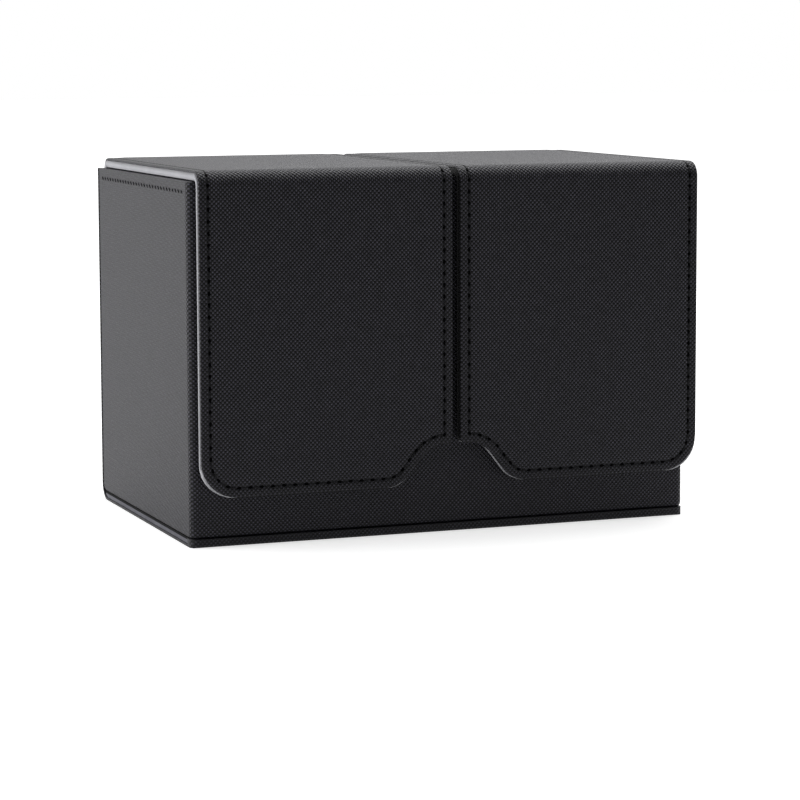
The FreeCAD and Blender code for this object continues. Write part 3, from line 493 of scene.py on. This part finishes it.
def sewn(name, rows):
    # the thread and the needle holes of rows of (path, place, pitch, startAt, low, high, height), as two
    # pieces, and the number of stitches; the holes are near-black beads of painted shade
    threads = bmesh.new()
    holes = bmesh.new()
    count = 0
    for path, place, pitch, startAt, low, high, height in rows:
        raised = height + stitch["threadHeight"]
        halfway = startAt + pitch / 2
        count += beadRow(threads, path, place, pitch, halfway, low, high, raised, stitch["thread"])
        beadRow(holes, path, place, pitch, startAt, low, high, height + stitch["holeHeight"], stitch["hole"])
    made = [newPiece(name + "Thread", threads, darkThread), newPiece(name + "HoleShade", holes, needleHoleShade)]
    return made, count


# ---- the sewn lids with their flaps
lidLow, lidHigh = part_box("left_lid_skin")
liningLow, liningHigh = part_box("left_lid_lining")
frontLow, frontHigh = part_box("left_front_fold_skin")
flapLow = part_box("left_flap_skin")[0]
rightLow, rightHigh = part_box("right_lid_skin")
rearLow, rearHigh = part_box("left_rear_fold_skin")
skinThick = lidHigh.z - lidLow.z
liningThick = liningHigh.z - liningLow.z
frontRadius = frontHigh.y - frontLow.y
rearRadius = rearHigh.y - rearLow.y
lidLength = lidHigh.y - lidLow.y
frontArc = frontRadius * math.pi / 2
flapTop = frontLow.z
flapLength = flapTop - flapLow.z

cover = {"notchHeight": 11.7 * mm, "notchTop": 8.0 * mm, "notchFoot": 17.2 * mm, "notchRound": 8.5 * mm,
         "flapCorner": 10.5 * mm, "slitCorner": 1.5 * mm, "seamInset": 2.7 * mm, "overhang": 12 * mm,
         "edgeRound": 0.55 * mm, "groove": (0.75 * mm, 0.35 * mm), "flankShare": 0.55,
         "crown": 0.10 * mm, "crownFrom": 3.0 * mm, "liningProud": 1.1 * mm, "liningEdge": 0.2 * mm,
         "liningShare": 0.3, "slices": 9 * mm, "foldSlices": 0.5 * mm}
# how far in from its corner the middle of a rounded edge lies, as a share of the edge's radius
roundShare = 0.29


def coverRows():
    # from the underside over a rounded edge, down into the sewn groove and up to a barely crowned panel
    soft = cover["edgeRound"]
    inset = cover["seamInset"]
    sunk = stitch["sunk"]
    half = sunk * cover["flankShare"]
    brow, flank = cover["groove"]
    return [(0, -skinThick), (0, -soft), (soft * roundShare, -soft * roundShare), (soft, 0),
            (inset - brow, 0), (inset - flank, -half), (inset, -sunk), (inset + flank, -half),
            (inset + brow, 0), (inset + cover["crownFrom"], cover["crown"])]


def liningRows(top, bottom):
    # pale backing: its raw edge, then a soft edge on the inside
    soft = cover["liningEdge"]
    middle = soft * cover["liningShare"]
    return [(0, top), (0, bottom + soft), (middle, bottom + middle), (soft, bottom)]


def makeCoverHalf(side, outerX, slitX):
    inward = 1 if slitX > outerX else -1
    foot = slitMiddle - cover["notchFoot"] * inward
    crest = slitMiddle - cover["notchTop"] * inward
    bottom = lidLength + frontArc + flapLength
    ceiling = bottom - cover["notchHeight"]
    rear = -cover["overhang"]
    corners = [(outerX, rear, 0), (outerX, bottom, cover["flapCorner"]), (foot, bottom, cover["notchRound"]),
               (crest, ceiling, cover["notchRound"]), (slitX, ceiling, cover["slitCorner"]), (slitX, rear, 0)]
    place = alongFolds((lidHigh.y, lidHigh.z), (-1, 0), (0, -1),
                       [(0, lidLength), (frontRadius, math.pi / 2), (0, flapLength)])
    foldEnd = lidLength + frontArc
    cuts = (evenSteps(0, lidLength, cover["slices"]) + [lidLength]
            + evenSteps(lidLength, foldEnd, cover["foldSlices"]) + [foldEnd]
            + evenSteps(foldEnd, bottom, cover["slices"]))
    sheet = sheetPanel(side + "CoverSheet", corners, coverRows(), panelCloth, [(0.0, -1)], cuts, place,
                       cover["seamInset"])
    # the lining's bends are tighter than the cloth's, so that it shows past them
    tighter = [(x, y, radius - cover["liningProud"] if radius > cover["slitCorner"] else radius)
               for x, y, radius in corners]
    lining = sheetPanel(side + "CoverLining", tighter, liningRows(-skinThick, -skinThick - liningThick),
                        paleLining, [(0.0, -1)], cuts, place)
    # a whole number of stitches from the rear edge round the flap and back
    path = seamPath(corners, cover["seamInset"])
    startAt = cover["overhang"] - cover["seamInset"]
    total = lengthOf(path) - 2 * startAt
    pitch = total / round(total / stitch["pitch"])
    seams, count = sewn(side + "Cover", [(path, place, pitch, startAt, 0, bottom, -stitch["sunk"])])
    inside = -skinThick - liningThick - stitch["holeHeight"] + stitch["innerLift"]
    innerSeams, inner = sewn(side + "CoverInside", [(path, place, pitch, startAt, 0, bottom, inside)])
    # each layer turns between the two ends of its own inner face
    # each layer's pieces are baked into their meshes where they lie
    for depth, layer in ((skinThick, [sheet] + seams), (skinThick + liningThick, [lining] + innerSeams)):
        for piece in layer:
            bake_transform(piece)
    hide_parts(side + "_lid_skin", side + "_front_fold_skin", side + "_flap_skin")
    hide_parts(side + "_lid_lining", side + "_front_fold_lining", side + "_flap_lining")
    print(side, "cover half:", count + inner, "stitches, pitch %.2f mm" % (pitch / mm))


makeCoverHalf("left", lidLow.x, lidHigh.x)
makeCoverHalf("right", rightHigh.x, rightLow.x)


# ---- rear folds, which bend between the back and each lid
# the hinge line runs between two bends, at these shares of the arc, where the fold is sliced;
# lastOnLid and firstOnCase bound the stitches in shares of the fold's length
rearFold = {"lidBend": 0.39, "caseBend": 0.61, "lastOnLid": 0.45, "firstOnCase": 0.55, "slack": 0.1 * mm,
            "reach": 0.08 * mm}


def makeRearFold(side, lowX, highX):
    gap = rearLow.y - lidHigh.y
    arc = rearRadius * math.pi / 2
    length = gap + arc
    extra = cover["overhang"]
    corners = [(lowX, -extra, 0), (lowX, length + extra, 0), (highX, length + extra, 0), (highX, -extra, 0)]
    place = alongFolds((lidHigh.y, lidHigh.z), (1, 0), (0, -1), [(0, gap), (rearRadius, math.pi / 2)])
    lidBend = gap + rearFold["lidBend"] * arc
    caseBend = gap + rearFold["caseBend"] * arc
    cuts = ([gap] + evenSteps(gap, lidBend, cover["foldSlices"]) + [lidBend, caseBend]
            + evenSteps(caseBend, length, cover["foldSlices"]))
    ends = [(0.0, -1), (length, 1)]
    sheet = sheetPanel(side + "RearFold", corners, coverRows(), panelCloth, ends, cuts, place,
                       cover["seamInset"])
    lining = sheetPanel(side + "RearFoldLining", corners, liningRows(-skinThick, -skinThick - liningRear),
                        paleLining, ends, cuts, place)
    # a whole stitch on either side of the hinge line, none across it
    halves = ((side + "FoldTop", side + "_lid", -rearFold["slack"], rearFold["lastOnLid"] * length),
              (side + "FoldBack", "case", rearFold["firstOnCase"] * length, length + rearFold["slack"]))
    for name, body, low, high in halves:
        rows = []
        for x in (lowX + cover["seamInset"], highX - cover["seamInset"]):
            line = [Vector((x, -extra, 0)), Vector((x, length + extra, 0))]
            rows.append((line, place, length / 2, extra, low, high, -stitch["sunk"]))
        seams, count = sewn(name, rows)
        for piece in seams:
            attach(piece, body)
    for piece in (sheet, lining):
        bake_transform(piece)
    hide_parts(side + "_rear_fold_skin")
    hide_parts(side + "_rear_fold_lining")


coverLow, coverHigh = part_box("cover_lining")
baseSkinLow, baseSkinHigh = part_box("cover_skin")
caseLow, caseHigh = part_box("case_skin")
liningRear = coverHigh.z - coverLow.z
heelRadius = 5.2 * mm
makeRearFold("left", lidLow.x, lidHigh.x)
makeRearFold("right", rightLow.x, rightHigh.x)
print("rear folds made")


# ---- the seams of the fixed half: down the back, round the heel and forward under the case
def sewBackAndBase():
    low, high = baseSkinLow, baseSkinHigh
    inset = cover["seamInset"]
    backLength = high.z - heelRadius
    quarter = math.pi / 2
    baseLength = high.y - heelRadius - low.y - inset
    length = backLength + heelRadius * quarter + baseLength
    place = alongFolds((high.y, high.z), (0, -1), (-1, 0),
                       [(0, backLength), (heelRadius, quarter), (0, baseLength)])
    pitch = length / round(length / stitch["pitch"])
    rows = []
    for x in (low.x + inset, high.x - inset):
        line = [Vector((x, 0, 0)), Vector((x, length, 0))]
        rows.append((line, place, pitch, 0, 0, length, -stitch["holeHeight"] / 2))
    seams, count = sewn("backAndBase", rows)
    for piece in seams:
        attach(piece, "case")
    print("back and base:", count, "stitches")


sewBackAndBase()


# ---- rim stitching round the case
rimSeam = {"below": 2.9 * mm, "inset": 3.0 * mm, "pitch": 2.9 * mm, "slant": 0.62,
           "size": (0.34 * mm, 0.70 * mm, 1.7 * mm)}


def makeRimStitches():
    bm = bmesh.new()
    z = caseHigh.z - rimSeam["below"]
    sides = [((caseLow.x, 0), (0, -1, 0), caseLow.y, caseHigh.y),
             ((caseHigh.x, 0), (0, 1, 0), caseLow.y, caseHigh.y),
             ((0, caseLow.y), (1, 0, 0), caseLow.x, caseHigh.x),
             ((0, caseHigh.y), (-1, 0, 0), caseLow.x, caseHigh.x)]
    for (x, y), direction, low, high in sides:
        count = int((high - low - 2 * rimSeam["inset"]) / rimSeam["pitch"])
        first = (low + high) / 2 - (count - 1) / 2 * rimSeam["pitch"]
        for k in range(count):
            at = first + k * rimSeam["pitch"]
            spot = Vector((x, at, z)) if direction[0] == 0 else Vector((at, y, z))
            outward = Vector((0, 0, 1)).cross(Vector(direction)) * -1
            across = outward.cross(Vector(direction)) * -1
            wall = Matrix((direction, across, outward)).transposed().to_4x4()
            slanted = Matrix.Translation(spot) @ wall @ Matrix.Rotation(rimSeam["slant"], 4, "Z")
            bead(bm, slanted, rimSeam["size"])
    # painted shade: the rim's stitches are drawn in the near-black of the needle holes, not in the thread's
    # colour
    thread = newPiece("rimThread", bm, needleHoleShade)
    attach(thread, "case")


makeRimStitches()


# ---- drawer face and pull tab
def onRightWall(faceX):
    # flat (across, up, height) to a panel that faces +X
    return lambda co: Vector((faceX + co.z, co.x, co.y))


def sewnPanel(name, seamName, node, panel, edgeRows, corner):
    # a stitched panel in place of a node that lies flat on the drawer's front. Returns the panel
    low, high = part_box(node)
    corners = [(low.y, low.z, corner), (high.y, low.z, corner), (high.y, high.z, corner),
               (low.y, high.z, corner)]
    place = onRightWall(high.x)
    rows = [(0, low.x - high.x)] + edgeRows
    made = sheetPanel(name, corners, rows, panelCloth, [], [], place, panel["inset"])
    path = seamPath(corners, panel["inset"])
    path.append(path[0])
    total = lengthOf(path)
    pitch = total / round(total / panel["pitch"])
    seams, count = sewn(seamName, [(path, place, pitch, 0.0, -1, 1, -panel["sunk"])])
    for piece in [made] + seams:
        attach(piece, "drawer")
    return made


drawerFace = {"corner": 0.7 * mm, "inset": 2.2 * mm, "pitch": stitch["pitch"], "edgeRound": 0.35 * mm,
              "groove": (0.7 * mm, 0.3 * mm), "flankSunk": 0.11 * mm, "sunk": 0.18 * mm,
              "crown": 0.05 * mm, "crownFrom": 3.0 * mm}


def makeDrawerFace():
    soft = drawerFace["edgeRound"]
    inset = drawerFace["inset"]
    brow, flank = drawerFace["groove"]
    rows = [(0, -soft), (soft * roundShare, -soft * roundShare), (soft, 0), (inset - brow, 0),
            (inset - flank, -drawerFace["flankSunk"]), (inset, -drawerFace["sunk"]),
            (inset + flank, -drawerFace["flankSunk"]), (inset + brow, 0),
            (inset + drawerFace["crownFrom"], drawerFace["crown"])]
    face = sewnPanel("drawerFaceCover", "drawerFace", "drawer_face_skin", drawerFace, rows,
                     drawerFace["corner"])
    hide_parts("drawer_face_skin", "drawer_face_board")


pullTab = {"inset": 1.6 * mm, "pitch": 2.6 * mm, "edgeRound": 0.25 * mm, "edgeMiddle": 0.07 * mm,
           "groove": 0.5 * mm, "sunk": 0.12 * mm, "crown": 0.04 * mm, "crownFrom": 1.5 * mm,
           "endFlat": 0.02 * mm}


def makePullTab():
    low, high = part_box("pull_tab")
    # the ends are round, but for a short flat that keeps their two corners apart
    corner = (high.y - low.y) / 2 - pullTab["endFlat"]
    inset = pullTab["inset"]
    middle = pullTab["edgeMiddle"]
    rows = [(0, -pullTab["edgeRound"]), (middle, -middle), (pullTab["edgeRound"], 0),
            (inset - pullTab["groove"], 0), (inset, -pullTab["sunk"]), (inset + pullTab["groove"], 0),
            (inset + pullTab["crownFrom"], pullTab["crown"])]
    tab = sewnPanel("pullTabStrap", "pullTab", "pull_tab", pullTab, rows, corner)
    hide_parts("pull_tab")


makeDrawerFace()
makePullTab()
print("drawer front made")


# ---- finishes of the frame's own nodes
def finishFor(name):
    if name == "pull_tab_rivet" or "magnet" in name:
        return nickel
    if name.startswith("drawer_") and name.endswith("_board"):
        return blackPaper
    if name.endswith("_board"):
        return greyBoard
    if name in ("bay_lining", "drawer_lining"):
        return greyLining
    if name == "cover_lining":
        return shadedBaseLining
    if name.endswith("lining"):
        return paleLining
    return wallCloth


for name, node in nodes.items():
    node.data.materials.clear()
    node.data.materials.append(finishFor(name))
print("node finishes set")

# ---- floor, backdrop and light
studio = {"floorReach": 6.0, "floorDiffuse": 0.75, "liftNear": 0.62, "liftFar": 1.0, "liftFrom": 0.35,
          "liftTo": 1.5, "floorTurns": (-0.25, 0.05), "floorBehind": 1.0, "floorInFront": 0.10,
          "worldLight": 0.34, "roomTurns": (-0.35, 0.55), "frontMirrored": 0.06, "backMirrored": 1.15}


def seenStraight(tree, path):
    # 1 for what the camera sees directly or through something clear
    return maths(tree, "MAXIMUM", path.outputs["Is Camera Ray"], path.outputs["Is Transmission Ray"])


def makeFloor():
    # a pale floor whose own white grows with distance from the box, so that only the box's shadow shows
    material, tree, shader = newMaterial("paleFloor")
    shader.inputs["Base Color"].default_value = (studio["floorDiffuse"],) * 3 + (1,)
    shader.inputs["Roughness"].default_value = 0.9
    shader.inputs["Specular IOR Level"].default_value = 0.1
    coords = tree.nodes.new("ShaderNodeTexCoord")
    reach = tree.nodes.new("ShaderNodeVectorMath")
    reach.operation = "LENGTH"
    tree.links.new(coords.outputs["Object"], reach.inputs[0])
    lift = between(tree, reach.outputs["Value"], studio["liftFrom"], studio["liftTo"], studio["liftNear"],
                   studio["liftFar"])
    path = tree.nodes.new("ShaderNodeLightPath")
    depth = tree.nodes.new("ShaderNodeSeparateXYZ")
    tree.links.new(coords.outputs["Object"], depth.inputs[0])
    mirrored = between(tree, depth.outputs["Y"], *studio["floorTurns"], studio["floorInFront"],
                       studio["floorBehind"])
    seen = maths(tree, "MAXIMUM", seenStraight(tree, path),
                 maths(tree, "MULTIPLY", path.outputs["Is Glossy Ray"], mirrored))
    shader.inputs["Emission Color"].default_value = (1, 1, 1, 1)
    feed(tree, shader.inputs["Emission Strength"], maths(tree, "MULTIPLY", seen, lift))
    bm = bmesh.new()
    bmesh.ops.create_grid(bm, x_segments=2, y_segments=2, size=studio["floorReach"])
    newPiece("floor", bm, material)


def makeRoom():
    # a white room behind, beside and above the box, with the dim side of the room in front of it
    world = bpy.data.worlds.new("studio")
    bpy.context.scene.world = world
    world.use_nodes = True
    tree = world.node_tree
    tree.nodes.clear()
    output = tree.nodes.new("ShaderNodeOutputWorld")
    background = tree.nodes.new("ShaderNodeBackground")
    coords = tree.nodes.new("ShaderNodeTexCoord")
    heading = tree.nodes.new("ShaderNodeSeparateXYZ")
    tree.links.new(coords.outputs["Generated"], heading.inputs[0])
    room = between(tree, heading.outputs["Y"], *studio["roomTurns"], studio["frontMirrored"],
                   studio["backMirrored"])
    path = tree.nodes.new("ShaderNodeLightPath")
    strength = mixed(tree, path.outputs["Is Glossy Ray"], (studio["worldLight"],) * 3 + (1,), room)
    strength = mixed(tree, seenStraight(tree, path), strength, (1, 1, 1, 1))
    background.inputs["Color"].default_value = (1, 1, 1, 1)
    feed(tree, background.inputs["Strength"], strength)
    tree.links.new(background.outputs[0], output.inputs["Surface"])


lamps = [{"name": "overhead", "place": (0.35, 0.30, 1.0), "size": (1.0, 1.0), "power": 10.0},
         {"name": "leftFill", "place": (-1.1, 0.5, 0.7), "size": (1.0, 0.8), "power": 11.0}]
lampAim = Vector((0, 0, 0.05))


def makeLamp(lamp):
    data = bpy.data.lights.new(lamp["name"], "AREA")
    data.shape = "RECTANGLE"
    data.size, data.size_y = lamp["size"]
    data.energy = lamp["power"]
    made = bpy.data.objects.new(lamp["name"], data)
    made.location = lamp["place"]
    made.rotation_euler = (lampAim - made.location).to_track_quat("-Z", "Y").to_euler()
    bpy.context.scene.collection.objects.link(made)


makeFloor()
makeRoom()
for lamp in lamps:
    makeLamp(lamp)
print("floor, room and lamps made")

bpy.context.scene.view_settings.view_transform = "Standard"
bpy.context.view_layer.update()
